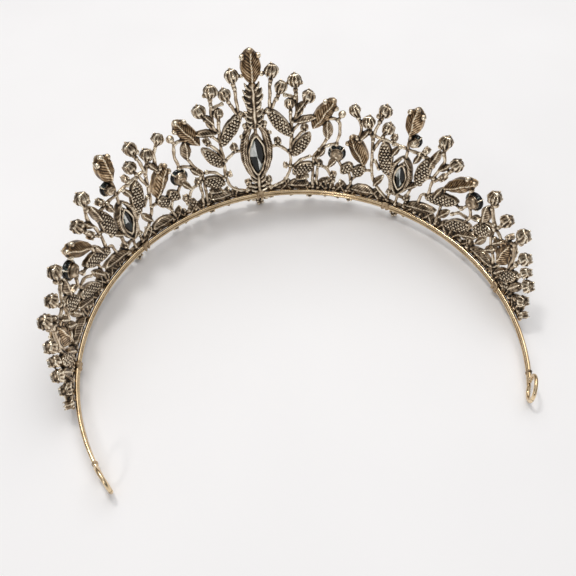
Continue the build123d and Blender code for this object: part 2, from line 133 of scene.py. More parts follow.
SIDE = {
    "bud": [((31.7, 34.0), (33.2, 31.0), 1.7), ((36.4, 30.6), (37.4, 26.6), 1.9),
            ((41.2, 35.8), (39.9, 31.0), 1.9), ((43.0, 29.9), (41.5, 26.0), 1.8),
            ((61.8, 32.6), (62.0, 28.0), 1.95), ((67.2, 26.8), (65.4, 22.6), 1.9)],
    "cup": [((45.2, 26.6), 1.35), ((56.1, 26.0), 1.35), ((63.6, 19.2), 1.4), ((49.7, -4.0), 1.6),
            ((45.5, -2.7), 1.2), ((53.6, -2.7), 1.2), ((28.6, -2.7), 1.2), ((32.8, -3.0), 1.5),
            ((66.0, -2.5), 0.9), ((46.8, 4.6), 1.4), ((53.0, 4.4), 1.4)],
    "leaf": [((33.3, 2.4), (41.4, 2.6), 4.2), ((53.4, 2.6), (64.4, 5.4), 3.4),
             ((58.6, 21.0), (60.6, 28.4), 2.8), ((52.4, 9.2), (56.0, 12.6), 2.0)],
    "pave": [((29.2, 8.6), (32.4, 12.4), 3.6), ((33.6, 8.2), (36.6, 12.4), 4.0),
             ((44.6, 12.4), (42.6, 24.2), 4.8), ((55.8, 12.6), (58.0, 23.6), 4.8),
             ((60.2, 9.0), (71.0, 14.0), 4.5), ((69.4, 3.0), (78.2, 8.4), 4.4)],
    "stem": [((33.0, 31.6), (34.3, 28.4), (34.2, 22.6)), ((27.0, 13.6), (24.4, 10.2)),
             ((27.6, 13.6), (30.0, 9.6)), ((31.6, 0.8), (32.8, 5.0), (31.4, 9.6)),
             ((37.2, 27.0), (38.7, 24.0)), ((39.9, 31.6), (38.6, 25.5), (38.9, 19.3),
              (39.8, 10.5), (42.0, 5.6), (46.4, 1.4)), ((41.6, 26.4), (39.1, 20.2)),
             ((36.4, 13.8), (36.0, 10.6), (32.8, 5.4)), ((39.6, 11.6), (35.6, 10.6)),
             ((38.7, 25.8), (42.7, 25.2), (46.4, 24.8), (50.4, 24.4), (54.6, 24.3), (59.4, 23.8)),
             ((50.3, 30.6), (50.3, 18.6)), ((45.2, 26.2), (45.4, 24.6)), ((56.1, 25.8), (56.0, 24.0)),
             ((44.6, 13.0), (46.6, 8.6), (46.8, 1.0)), ((55.6, 13.0), (53.6, 8.0), (53.0, 1.0)),
             ((62.0, 28.4), (62.9, 25.4), (60.9, 18.0), (60.4, 9.4)),
             ((65.5, 23.0), (63.6, 19.2), (61.4, 17.0)), ((61.2, 9.6), (58.2, 9.0), (57.4, 0.8)),
             ((65.8, 16.6), (65.0, 12.0)), ((66.0, 10.4), (65.6, 0.8)),
             ((69.4, 12.8), (72.6, 12.8), (75.0, 15.6)), ((76.0, 15.0), (76.8, 11.4), (74.4, 6.4)),
             ((69.9, 4.0), (69.6, 0.8)), ((59.4, 23.8), (59.6, 22.0)), ((50.0, 7.4), (49.8, 0.8)),
             ((46.8, 4.6), (53.0, 4.4)), ((39.0, 3.0), (39.0, 0.8))],
    "bead": [((33.5, 23.6), 0.9), ((39.4, 33.4), 0.9), ((60.4, 30.2), 0.9)],
    "closed": {"inner_stone": ((37.0, 13.2), (31.4, 23.4), 5.2),
               "side_finial_stone": ((50.2, 29.8), (50.9, 39.2), 5.4),
               "outer_stone": ((65.4, 16.2), (74.6, 24.0), 4.6)},
    "open": {"medallion_drop_stone": ((49.7, 7.2), (49.7, 18.2), 5.0)},
    "round": {"inner_round_stone": ((27.0, 15.2), 2.9), "medallion_stone": ((51.6, 27.2), 2.2),
              "outer_round_stone": ((75.6, 17.0), 3.0)},
}
END = {
    "bud": [((82.5, 25.0), (83.0, 20.4), 1.95), ((89.5, 21.4), (87.8, 16.8), 1.85),
            ((96.9, 22.4), (95.4, 17.4), 1.95), ((101.2, 17.0), (99.0, 12.4), 1.8),
            ((103.8, 13.8), (102.0, 10.0), 1.5), ((106.9, 11.4), (104.4, 7.8), 1.7),
            ((108.0, 5.6), (105.6, 3.6), 1.6)],
    "cup": [((97.2, -2.8), 1.5), ((79.4, -2.5), 0.9), ((104.5, -2.5), 0.9), ((92.4, 17.0), 1.2),
            ((110.8, 2.2), 1.3), ((99.6, 3.2), 1.5)],
    "leaf": [((82.2, 14.4), (81.6, 20.6), 3.4), ((81.6, 2.2), (91.6, 3.0), 3.8),
             ((101.4, 3.0), (104.4, 8.8), 2.8), ((77.6, 12.8), (81.0, 14.0), 1.8)],
    "pave": [((79.8, 9.4), (86.0, 13.8), 4.6), ((96.2, 3.4), (101.6, 9.6), 3.8)],
    "stem": [((83.0, 20.8), (86.0, 16.4)), ((82.2, 14.8), (85.4, 15.6), (89.4, 14.6), (91.4, 13.0)),
             ((91.0, 13.8), (95.6, 17.6)), ((87.8, 17.0), (86.8, 15.2)),
             ((86.2, 15.4), (87.2, 9.6), (90.4, 5.4), (91.4, 0.8)), ((80.2, 9.8), (79.8, 0.8)),
             ((95.6, 17.2), (97.3, 12.0), (97.2, 6.0), (97.0, 0.8)), ((92.4, 17.0), (92.6, 14.6)),
             ((99.1, 12.8), (98.4, 8.0), (98.0, 0.8)), ((102.1, 10.4), (99.0, 6.0)),
             ((104.6, 8.2), (103.0, 5.0), (102.4, 0.8)), ((105.9, 4.0), (103.0, 0.9)),
             ((110.8, 2.2), (107.0, 0.9)), ((80.6, 13.8), (82.4, 13.0))],
    "bead": [((81.4, 22.8), 0.9), ((84.0, 22.8), 0.9), ((97.4, 19.6), 0.9)],
    "closed": {"end_stone": ((92.6, 5.8), (94.4, 15.6), 5.8)},
    "open": {},
    "round": {},
}
# From and to, along the band, of the strip at the foot of each casting.
CENTRE_SPAN = (-26.6, 26.6)
SIDE_SPAN = (27.0, 76.4)
END_SPAN = (76.8, 110.6)
# Stems, leaves and beads that only the looks have. They fill the filigree and don't follow real ones
# one by one, apart from a few.
FILLING = (
    (CENTRE_HALF, {
        "stem": [((9.8, 38.2), (12.8, 37.2)), ((1.6, 30.8), (4.6, 33.0)), ((12.0, 24.4), (14.4, 27.6))],
        "leaf": [((20.4, 14.4), (23.0, 17.6), 2.2), ((13.4, 4.6), (17.8, 5.4), 2.4),
                 ((24.6, 10.4), (27.0, 14.0), 2.2), ((13.2, 32.0), (15.6, 35.4), 2.0)]}),
    (SIDE, {
        "stem": [((51.5, 10.0), (54.0, 11.5), (57.0, 13.0)), ((40.2, 16.0), (42.0, 13.4)),
                 ((57.6, 16.0), (61.0, 18.0)), ((70.6, 8.6), (73.0, 10.6), (76.4, 10.8))],
        "leaf": [((75.0, 3.0), (82.0, 7.5), 3.0), ((41.0, 6.0), (43.6, 10.4), 2.4),
                 ((34.8, 23.8), (36.8, 27.4), 2.0), ((62.4, 22.0), (64.6, 25.0), 2.0),
                 ((63.0, 10.6), (64.6, 15.6), 2.4), ((45.8, 20.4), (47.2, 24.0), 2.0),
                 ((53.4, 20.4), (54.6, 23.8), 2.0), ((66.4, 4.6), (69.0, 8.4), 2.6)],
        "bead": [((47.6, 24.4), 0.9), ((54.4, 24.2), 0.9), ((42.2, 24.9), 0.8), ((73.0, 12.9), 0.9)]}),
    (END, {
        "stem": [((95.6, 15.6), (96.4, 11.0), (98.0, 7.0)), ((88.2, 12.4), (90.0, 9.4), (92.8, 7.4))],
        "leaf": [((77.7, 13.0), (80.8, 14.0), 1.8), ((86.6, 6.0), (89.8, 9.4), 2.6),
                 ((82.4, 5.0), (84.6, 9.0), 2.4), ((93.6, 2.2), (96.4, 6.4), 2.6),
                 ((88.6, 10.6), (91.0, 14.2), 2.2)],
        "bead": [((86.6, 15.6), 0.9), ((99.2, 12.0), 0.8), ((105.4, 3.2), 0.9)]}),
)


# ------------------------------------------------------------------ placing
def stand(points):
    """Band frame in mm to the standing tiara in metres."""
    x, y, z = points.T
    c, s = cos(STAND_TILT), sin(STAND_TILT)
    return np.stack([x, y * c - z * s + SHIFT_Y, y * s + z * c + SHIFT_Z], 1) * MM


def wall(points):
    """Flat panel coordinates (u, v, w) in mm to the wall of the tiara, in the band frame."""
    u, v, w = points.T
    radius = WALL_R + WALL_LEAN * np.maximum(v, 0) - w
    return np.stack([radius * np.sin(u / WALL_R), radius * np.cos(u / WALL_R), v + WALL_LEAN * w], 1)


def flipped(entry):
    """The same layout on the other side of the middle."""
    if isinstance(entry, dict):
        return {name: flipped(value) for name, value in entry.items()}
    if isinstance(entry, list):
        return [flipped(value) for value in entry]
    if isinstance(entry, tuple):
        if not isinstance(entry[0], tuple):
            return (-entry[0], entry[1])
        return tuple(flipped(value) for value in entry)
    return entry


def span(foot, tip):
    """The distance between two (u, v) places."""
    return hypot(tip[0] - foot[0], tip[1] - foot[1])


def along(points, foot, tip):
    """Moves a shape whose y axis runs from foot to tip, and whose origin is half way."""
    du, dv, length = tip[0] - foot[0], tip[1] - foot[1], span(foot, tip)
    x, y, z = points.T
    u = (x * dv + y * du) / length + (foot[0] + tip[0]) / 2
    v = (-x * du + y * dv) / length + (foot[1] + tip[1]) / 2
    return np.stack([u, v, z], 1)


def laid(shapes, foot, tip):
    """Each (points, faces) shape moved to run from foot to tip."""
    return [(along(points, foot, tip), faces) for points, faces in shapes]


def round_centre(centre, reach, angle):
    """The (u, v) place at a distance and an angle from a centre."""
    return centre[0] + reach * cos(angle), centre[1] + reach * sin(angle)


# ------------------------------------------------------------------ mesh shapes: (points, faces)
def grid_quads(rows, cols, wrap=False):
    """Faces of a grid of points; wrap joins the last column to the first."""
    r, c = np.meshgrid(np.arange(rows - 1), np.arange(cols if wrap else cols - 1), indexing="ij")
    a, b = r * cols + c, r * cols + (c + 1) % cols
    return np.stack([a, b, b + cols, a + cols], -1).reshape(-1, 4)


def closed_pair(back, front):
    """A closed shell between two grids of the same shape."""
    rows, cols, _ = back.shape
    quads = grid_quads(rows, cols)
    index = np.arange(rows * cols).reshape(rows, cols)
    edge = np.concatenate([index[0, :-1], index[:-1, -1], index[-1, :0:-1], index[:0:-1, 0]])
    after = np.roll(edge, -1)
    size = rows * cols
    sides = np.stack([edge, edge + size, after + size, after], 1)
    points = np.concatenate([back.reshape(-1, 3), front.reshape(-1, 3)])
    return points, np.concatenate([quads, quads[:, ::-1] + size, sides])


def blade(length, width, back, front, point=0.9):
    """A leaf-shaped shell: back and front give w from x, y, s and t, where s and t run from -1 to 1."""
    rows, cols = int(length / CELL) + 4, int(width / CELL) + 4
    t, s = np.meshgrid(np.linspace(-1, 1, rows), np.linspace(-1, 1, cols), indexing="ij")
    tip_half = 0.06
    x = s * (width / 2 * (1 - t**2) ** point + tip_half)
    y = t * length / 2
    return closed_pair(*(np.stack([x, y, height(x, y, s, t)], -1) for height in (back, front)))


def capped(rings, first_point, last_point):
    """A closed skin through rings of points, with a fan to a point at each end."""
    rows, sides, _ = rings.shape
    points = np.concatenate([rings.reshape(-1, 3), [first_point, last_point]])
    ring = np.arange(sides)
    after = (ring + 1) % sides
    low, high = np.full(sides, rows * sides), np.full(sides, rows * sides + 1)
    last = (rows - 1) * sides
    first_fan = np.stack([after, ring, low, low], 1)
    last_fan = np.stack([ring + last, after + last, high, high], 1)
    return points, np.concatenate([grid_quads(rows, sides, wrap=True), first_fan, last_fan])


def turned(profile, segments=24):
    """A shape turned round the w axis from (radius, w) points, closed at both ends."""
    angle = np.linspace(0, 2 * pi, segments, endpoint=False)
    profile = np.array(profile, float)
    radius = np.maximum(profile[:, 0], 1e-3)[:, None]
    height = profile[:, 1][:, None] + 0 * angle
    rings = np.stack([radius * np.cos(angle), radius * np.sin(angle), height], -1)
    return capped(rings, [0, 0, profile[0, 1]], [0, 0, profile[-1, 1]])


def turned_cup(profile, centre, segments=24):
    """A turned shape whose profile runs from its back to its front, at (u, v)."""
    points, faces = turned(profile, segments)
    return points + (centre[0], centre[1], 0), faces[:, ::-1]


def ball(centre, radius, segments=14):
    turns = np.linspace(-pi / 2, pi / 2, 9)
    points, faces = turned([(radius * cos(a), radius * sin(a)) for a in turns], segments)
    return points + np.array(centre), faces


def tube(path, radius, sides=12, taper=True):
    """A round rod along a path of 3-D points, with rounded ends unless taper is off."""
    path = np.array(path, float)
    tangent = np.gradient(path, axis=0)
    tangent /= np.linalg.norm(tangent, axis=1)[:, None]
    side = np.cross(tangent, (0.0, 0.13, 0.99))
    side /= np.linalg.norm(side, axis=1)[:, None]
    up = np.cross(side, tangent)
    radius = np.broadcast_to(np.array(radius, float), (len(path),)).copy()
    if taper:
        ends = [path[0] - tangent[0] * radius[0] * a for a in (0.95, 0.7)]
        tail = [path[-1] + tangent[-1] * radius[-1] * a for a in (0.7, 0.95)]
        path = np.concatenate([ends, path, tail])
        side, up = (np.pad(axis, ((2, 2), (0, 0)), "edge") for axis in (side, up))
        radius = np.concatenate([radius[:1] * 0.3, radius[:1] * 0.72, radius,
                                 radius[-1:] * 0.72, radius[-1:] * 0.3])
    angle = np.linspace(0, 2 * pi, sides, endpoint=False)
    rings = (path[:, None] + radius[:, None, None] * (np.cos(angle)[None, :, None] * side[:, None]
             + np.sin(angle)[None, :, None] * up[:, None]))
    return capped(rings, path[0], path[-1])


def smooth_path(places, w, steps=8):
    """A Catmull-Rom curve through (u, v) places at a fixed w, rounded as a bent stem is."""
    places = [np.array(place, float) for place in places]
    ends = [2 * places[0] - places[1]] + places + [2 * places[-1] - places[-2]]
    curve = []
    for p0, p1, p2, p3 in zip(ends, ends[1:], ends[2:], ends[3:]):
        for t in np.arange(steps) / steps:
            curve.append(0.5 * (2 * p1 + (p2 - p0) * t + (2 * p0 - 5 * p1 + 4 * p2 - p3) * t**2
                                + (3 * p1 - p0 - 3 * p2 + p3) * t**3))
    curve.append(places[-1])
    curve = np.array(curve)
    return np.column_stack([curve, np.full(len(curve), w)])


# ------------------------------------------------------------------ cast elements, flat
def herringbone(x, y, pitch, slope=0.9):
    """Ridges that run back from the midrib on both sides, from 0 to 1."""
    return (0.5 + 0.5 * np.cos(2 * pi * (y - slope * np.abs(x)) / pitch)) ** 0.7


def midrib(x, width=0.3):
    return np.exp(-(x / width) ** 2)


def plain_leaf(foot, tip, width):
    """A small leaf, domed to the back, with a midrib and veins."""
    def back(x, y, s, t):
        return 0.05 + 0.6 * (1 - s**2) * (1 - t**2) ** 0.3 + 0.3 * midrib(x) + 0.16 * herringbone(x, y, 0.95)

    def front(x, y, s, t):
        return -1.2 - 0.3 * (1 - s**2)

    return laid([blade(span(foot, tip) + 0.5, width, back, front)], foot, tip)


def pave_leaf(foot, tip, width):
    """A leaf set with small stones: its back is grained and has a raised edge."""
    pitch, grain_r = 1.12, 0.5

    def raised_edge(s):
        return np.exp(-((1 - np.abs(s)) * width / 2 / 0.3) ** 2)

    def back(x, y, s, t):
        row = np.round(y / pitch)
        offset = (row % 2) * pitch / 2
        dx = (x - offset) - np.round((x - offset) / pitch) * pitch
        dy = y - row * pitch
        dx, dy = dx + 0.12 * np.sin(9 * y + foot[0]), dy + 0.12 * np.sin(8 * x + foot[1])
        grain = np.sqrt(np.maximum(0, 1 - (dx**2 + dy**2) / grain_r**2))
        return 0.45 * (1 - s**2) - 0.05 + 0.5 * grain * (np.abs(s) < 0.84) + 0.4 * raised_edge(s)

    def front(x, y, s, t):
        return -1.25 - 0.25 * raised_edge(s)

    shapes = laid([blade(span(foot, tip) + 0.6, width, back, front, point=0.62)], foot, tip)
    for share, size in PAVE_STONES:
        centre = [a + share * (b - a) for a, b in zip(foot, tip)]
        for angle in DIAGONALS:
            shapes.append(ball((*round_centre(centre, size * width * 1.02, angle), -1.5), 0.22, 8))
    return shapes


def setting(foot, tip, width):
    """The closed setting of a pointed stone: a boat with a leaf-veined back and claws at both ends."""
    length = span(foot, tip)

    def back(x, y, s, t):
        keel = 0.95 * (1 - np.abs(s) ** 1.6) * (1 - t**2) ** 0.4
        veins = 0.26 * herringbone(x, y + 0.1 * np.sin(3 * x + foot[0]), 1.1, 1.1) * (1 - s**4)
        return -0.35 + keel + 0.42 * midrib(x + 0.12 * np.sin(y), 0.34) + veins

    def front(x, y, s, t):
        hollow = np.clip((0.8 - np.maximum(np.abs(s), np.abs(t))) / 0.12, 0, 1)
        return -2.45 + 0.65 * hollow

    shapes = [blade(length, width, back, front, point=0.62)]
    for x, y, size in ((-0.4 * width, 0.33 * length, 0.92), (0, 0.5 * length - 0.2, 0.95),
                       (0.4 * width, 0.33 * length, 0.92)):
        knob = ball((x, y, -0.55), size)
        spur = tube([(x * 0.9, y * 0.72, -0.5), (x * 1.02, y * 0.9, -0.1), (x * 0.95, y, -0.4)], 0.36)
        claw = tube([(x, y, -0.9), (x * 0.95, y * 0.97, -1.8), (x * 0.7, y * 0.9, -2.75)], 0.42)
        shapes += [knob, spur, claw]
    for x in (-0.3 * width, 0.3 * width):
        y = -0.36 * length
        shapes.append(tube([(x, y, -1.0), (x, y, -2.0), (x * 0.6, y * 0.95, -2.7)], 0.36))
    return laid(shapes, foot, tip)


def open_setting(foot, tip, width):
    """Three rings of wire, one behind another, round a stone that shows through."""
    steps = 73
    turn = np.linspace(0, 2 * pi, steps)
    t = np.cos(turn)
    x = np.sign(np.sin(turn)) * (width / 2 - 0.35) * (1 - t**2) ** 0.9
    ring = np.column_stack([x, t * (span(foot, tip) / 2 - 0.3), np.full(steps, 0.1)])
    return laid([tube(ring + (0, 0, w), 0.4, 10, taper=False) for w in (0.0, -1.0, -2.0)], foot, tip)


def crescent(side, foot, tip, inner, outer, rope=0.95):
    """A ridged leaf that bows out beside an open setting, between two widths from its axis."""
    length = span(foot, tip)
    rows, cols = int(length / CELL), 26
    t, s = np.meshgrid(np.linspace(-1, 1, rows), np.linspace(0, 1, cols), indexing="ij")
    bow = 1 - t**2
    near, far = inner * bow**0.9, outer * bow**0.62 + 0.35
    x = side * (near + (far - near) * s)
    y = t * length / 2
    dome = np.sin(pi * s) ** 0.6
    ridges = 0.5 + 0.5 * np.cos(2 * pi * (y + 1.1 * np.abs(x)) / rope)
    strands = 0.5 + 0.5 * np.cos(2 * pi * s * 3)
    height = -0.15 + dome * (0.75 + 0.34 * ridges * s + 0.2 * strands)
    back = np.stack([x + side * 0.12 * ridges * (s > 0.9), y, height], -1)
    front = np.stack([x, y, -1.3 - 0.7 * dome], -1)
    points, faces = closed_pair(back, front)
    if side < 0:
        faces = faces[:, ::-1]
    return laid([(points, faces)], foot, tip)


def claws(centre, radius, angles, steps, thick):
    """A bent claw at each angle, through (share of the radius, w) steps."""
    return [tube([(*round_centre(centre, radius * share, angle), w) for share, w in steps], thick)
            for angle in angles]


def cup(centre, radius):
    """A round cup that opens to the front, with a knobbly back and four claws."""
    r = radius
    profile = [(0.0, 0.3), (0.3 * r, 0.26), (0.42 * r, 0.0), (0.6 * r, 0.05), (0.78 * r, -0.1),
               (0.8 * r, -0.6), (0.86 * r, -1.2), (0.92 * r, -1.9), (0.8 * r, -1.95),
               (0.72 * r, -1.4), (0.0, -1.3)]
    start = radians(45 + 40 * sin(5 * centre[0] + 2 * centre[1]))
    angles = [start + quarter for quarter in QUARTERS]
    knobs = [ball((*round_centre(centre, 0.6 * r, angle), 0.02), 0.34 * r, 10) for angle in angles]
    steps = ((0.78, -0.5), (0.82, -1.2), (0.82, -1.9), (0.7, -2.35))
    return [turned_cup(profile, centre)] + knobs + claws(centre, r, angles, steps, 0.2 * r ** 0.5)


def bud(head, tip, radius):
    """A bud: a ringed neck that swells to a round head, with ribs that end in knobs on top."""
    rows, sides = 44, 40
    length = span(tip, head)
    total = length + radius
    vary = sin(7.3 * head[0] + 3.1 * head[1])
    share = np.linspace(0, 1, rows)
    neck = 0.38 + 0.06 * np.cos(2 * pi * 4 * share + vary)
    dome = np.sqrt(1 - np.clip(np.abs(share * total - length) / radius, 0, 1) ** 2)
    swell = radius * np.maximum(np.where(share * total < length, neck + 0.1 * share, 0.02), 1.24 * dome)
    a, s = np.meshgrid(np.linspace(0, 2 * pi, sides, endpoint=False), share)
    rough = swell[:, None] * (0.9 + 0.09 * np.cos(9 * a + vary))
    rings = np.stack([rough * np.cos(a), s * total - total / 2, 0.74 * rough * np.sin(a) - 0.4], -1)
    points, faces = capped(rings, [0, -total / 2 - 0.1, -0.35], [0, total / 2, -0.35])
    shapes = [(points, faces[:, ::-1])]
    middle = length - total / 2
    for lean in (-0.98, -0.36 + 0.12 * vary, 0.36 + 0.12 * vary, 0.98):
        reach = 0.8 * radius * sqrt(1 - 0.7 * lean**2)
        rib = [(0.5 * lean * radius, middle - 1.25 * radius, 0.35 * reach - 0.2),
               (0.8 * lean * radius, middle - 0.6 * radius, 0.8 * reach - 0.2),
               (0.98 * lean * radius, middle, reach - 0.25),
               (0.66 * lean * radius, middle + 0.72 * radius, 0.6 * reach - 0.3)]
        knob = (0.5 * lean * radius, middle + 0.82 * radius, -0.1 + 0.2 * reach)
        shapes += [tube(rib, (0.16, 0.28, 0.34, 0.3), 10), ball(knob, 0.27 * radius, 12)]
    shapes += [ball((0.05 * radius, middle + 0.56 * radius, -0.5), 0.56 * radius),
               ball((0.25 * vary * radius, middle, 0.3 * radius), 0.5 * radius)]
    direction = (np.array(head) - np.array(tip)) / length
    crown = tuple(np.array(head) + direction * radius)
    return laid(shapes, tip, crown) + cup_front(head, radius)


def cup_front(centre, radius):
    """The open cup on the front of a bud, with four claws."""
    r = radius
    profile = [(0.0, -0.4), (0.7 * r, -0.45), (0.84 * r, -0.9), (0.92 * r, -1.45), (0.9 * r, -1.55),
               (0.8 * r, -1.55), (0.72 * r, -1.2), (0.0, -1.1)]
    steps = ((1, -0.9), (1, -1.6), (0.8, -2.0))
    return [turned_cup(profile, centre)] + claws(centre, 0.92 * r, QUARTERS, steps, 0.3)


def round_setting(centre, radius):
    """The cup of a round stone: narrow and stepped at the back, with four claws at the front."""
    r = radius
    profile = [(0.0, 0.85), (0.12 * r, 0.84), (0.2 * r, 0.66), (0.32 * r, 0.66), (0.5 * r, 0.5),
               (0.64 * r, 0.15), (0.72 * r, -0.3), (0.7 * r, -0.7), (0.78 * r, -1.0),
               (0.74 * r, -1.5), (0.0, -1.6)]
    steps = ((0.68, -0.7), (0.92, -1.2), (1.08, -1.9), (1.02, -2.5), (0.84, -2.85))
    return [turned_cup(profile, centre, 36)] + claws(centre, r, DIAGONALS, steps, 0.28)


def bead(centre, radius):
    return [ball((centre[0], centre[1], -0.35), radius)]


def stem(points, w=-0.4):
    """A slightly uneven rod through (u, v) places, with a knot at each end."""
    path = smooth_path(points, w)
    wave = 1 + 0.08 * np.sin(np.arange(len(path)) * 0.9 + points[0][0])
    knots = [ball((u, v, w + 0.1), 0.74 + 0.1 * sin(9 * u), 10) for u, v in (points[0], points[-1])]
    return [tube(path, STEM_R * wave)] + knots


def rail(first, last):
    """The pair of bars along the foot of a casting."""
    low, high = sorted((first, last))
    steps = np.linspace(low, high, int((high - low) / 0.8))
    return [tube([(u, v, -0.6) for u in steps], RAIL_R) for v in (0.75, -0.2)]


def fronds(foot, tip, reach, pairs):
    """An ear of curved blades that spring in pairs from a thick keel, as on the middle spine."""
    length = span(foot, tip)
    shapes = [tube([(0, y, 0.25 + 0.3 * sin(pi * (y / length + 0.5)))
                    for y in np.linspace(-length / 2, length / 2, 12)], 0.55)]
    for order in range(pairs):
        low = -length / 2 + length * order / pairs
        size = reach * (0.6 + 0.4 * sin(pi * (order + 0.7) / pairs))
        for side in (-1, 1):
            path = [(side * size * k, low + rise, w) for k, rise, w in
                    ((0.08, 0.0, 0.1), (0.45, 0.35, 0.4), (0.82, 1.0, 0.2), (1.0, 2.0, -0.2))]
            for layer, thick in ((0.0, (0.45, 0.55, 0.5, 0.26)), (-0.8, (0.5, 0.75, 0.6, 0.26))):
                shapes.append(tube(np.array(path) + (0, 0, layer), thick, 10))
    return laid(shapes, foot, tip)


def undergrowth(first, last):
    """Curled leaves and beads in a low row along the foot of a casting."""
    shapes = []
    for order, u in enumerate(np.arange(min(first, last) + 1.2, max(first, last) - 1.0, 2.1)):
        lean = (1.9, -1.6, 0.5)[order % 3]
        rise = 3.2 + 0.7 * sin(2.3 * order)
        for shape, faces in plain_leaf((u - 0.5 * lean, -0.4), (u + lean, rise), 2.3 + 0.4 * sin(order)):
            shapes.append((shape + (0, 0, -0.75), faces))
        if order % 2:
            shapes.append(ball((u + 0.9, 1.2 + 0.5 * sin(3 * order), -0.9), 0.85, 10))
    return shapes


def elements(layout):
    """Every metal element of a layout with the place that sorts it to a piece, as (place, shapes)."""
    makers = {"leaf": plain_leaf, "pave": pave_leaf, "closed": setting, "open": open_setting,
              "round": round_setting, "cup": cup, "bud": bud, "bead": bead}
    found = []
    for kind, maker in makers.items():
        entries = layout[kind].values() if isinstance(layout[kind], dict) else layout[kind]
        found += [(entry[0], maker(*entry)) for entry in entries]
    found += [(points[len(points) // 2], stem(points)) for points in layout["stem"]]
    found += [(centre, stem([(centre[0], 0.8), centre], -0.6))
              for centre, _ in layout["cup"] if centre[1] < 0]
    return found


# ------------------------------------------------------------------ fusing and ageing
def to_mesh(name, points, faces):
    mesh = bpy.data.meshes.new(name)
    rows = [list(dict.fromkeys(face)) for face in faces.tolist()]
    mesh.from_pydata(points.tolist(), [], rows)
    mesh.update()
    return mesh


def combined(shapes):
    """Several (points, faces) shapes as one."""
    points, faces, start = [], [], 0
    for shape_points, shape_faces in shapes:
        points.append(shape_points)
        faces.append(shape_faces + start)
        start += len(shape_points)
    return np.concatenate(points), np.concatenate(faces)


def vertex_values(mesh, key):
    """The co or normal of every point of a mesh."""
    flat = np.empty(len(mesh.vertices) * 3, np.float32)
    mesh.vertices.foreach_get(key, flat)
    return flat.reshape(-1, 3).astype(float)


def relaxed(points, edges, rounds):
    """Points moved towards the mean of their neighbours, a number of times."""
    count = len(points)
    a, b = edges.T
    degree = np.maximum(np.bincount(a, minlength=count) + np.bincount(b, minlength=count), 1)
    for _ in range(rounds):
        sums = [np.bincount(a, points[b, k], count) + np.bincount(b, points[a, k], count) for k in range(3)]
        points = 0.4 * points + 0.6 * np.stack(sums, 1) / degree[:, None]
    return points


def store(mesh, name, values, domain="POINT"):
    mesh.attributes.new(name, "FLOAT", domain).data.foreach_set("value", values.astype(np.float32))


def fused(name, shapes, voxel=VOXEL):
    """One closed skin round overlapping shapes, softened as a casting is."""
    rough = bpy.data.objects.new(name + "_rough", to_mesh(name + "_rough", *combined(shapes)))
    bpy.context.scene.collection.objects.link(rough)
    remesh = rough.modifiers.new("fuse", "REMESH")
    remesh.mode = "VOXEL"
    remesh.voxel_size = voxel
    view = bpy.context.evaluated_depsgraph_get()
    mesh = bpy.data.meshes.new_from_object(rough.evaluated_get(view))
    bpy.data.objects.remove(rough)
    mesh.name = name
    edges = np.empty(len(mesh.edges) * 2, np.int32)
    mesh.edges.foreach_get("vertices", edges)
    edges = edges.reshape(-1, 2)
    points = relaxed(vertex_values(mesh, "co"), edges, 1)
    a, b, _ = points.T
    unevenness = 0.07
    points = points + unevenness * np.stack([np.sin(1.3 * b + 0.3 * a), np.sin(1.1 * a + 0.4 * b),
                                             np.sin(1.9 * a + 1.7 * b)], 1)
    mesh.vertices.foreach_set("co", points.astype(np.float32).ravel())
    mesh.update()
    normals = vertex_values(mesh, "normal")
    for attribute_name, rounds, full in (("hollow_fine", 4, 0.05), ("hollow_broad", 26, 0.25)):
        hollow = ((relaxed(points, edges, rounds) - points) * normals).sum(1)
        store(mesh, attribute_name, hollow / full)
    store(mesh, "relief", np.abs(points[:, 2] - MIDDLE_W) + MIDDLE_W)
    return mesh, points


def piece(name, mesh, points, material, nodes, smooth=True):
    """Sets a mesh's final points in metres and adds it to the scene as a piece of the tiara."""
    mesh.vertices.foreach_set("co", points.astype(np.float32).ravel())
    mesh.polygons.foreach_set("use_smooth", np.full(len(mesh.polygons), smooth))
    mesh.update()
    mesh.materials.append(material)
    made = bpy.data.objects.new(name, mesh)
    bpy.context.scene.collection.objects.link(made)
    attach(made, "root")
    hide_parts(*nodes)


# ------------------------------------------------------------------ materials
def new_material(name):
    made = bpy.data.materials.new(name)
    made.use_nodes = True
    return made, made.node_tree, made.node_tree.nodes["Principled BSDF"]


def node(tree, kind, **settings):
    made = tree.nodes.new(kind)
    for key, value in settings.items():
        setattr(made, key, value)
    return made


def math_node(tree, operation, first, second, clamp=False):
    made = node(tree, "ShaderNodeMath", operation=operation, use_clamp=clamp)
    for socket, value in zip(made.inputs, (first, second)):
        if hasattr(value, "is_output"):
            tree.links.new(value, socket)
        else:
            socket.default_value = value
    return made.outputs[0]


def ramp(tree, value, stops):
    """A colour ramp from (position, colour) stops."""
    made = node(tree, "ShaderNodeValToRGB")
    made_stops = made.color_ramp.elements
    while len(made_stops) < len(stops):
        made_stops.new(0.5)
    for stop, (position, colour) in zip(made_stops, stops):
        stop.position = position
        stop.color = (*colour, 1)
    tree.links.new(value, made.inputs[0])
    return made.outputs[0]


def ranged(tree, value, low, high, start=0.0, end=1.0):
    """A value from start to end, mapped to run from low to high."""
    made = node(tree, "ShaderNodeMapRange")
    tree.links.new(value, made.inputs["Value"])
    for key, limit in (("From Min", start), ("From Max", end), ("To Min", low), ("To Max", high)):
        made.inputs[key].default_value = limit
    return made.outputs[0]


def noise(tree, scale, detail=4.0, rough=0.6):
    made = node(tree, "ShaderNodeTexNoise")
    for key, value in (("Scale", scale), ("Detail", detail), ("Roughness", rough)):
        made.inputs[key].default_value = value
    tree.links.new(node(tree, "ShaderNodeTexCoord").outputs["Object"], made.inputs["Vector"])
    return made.outputs["Fac"]


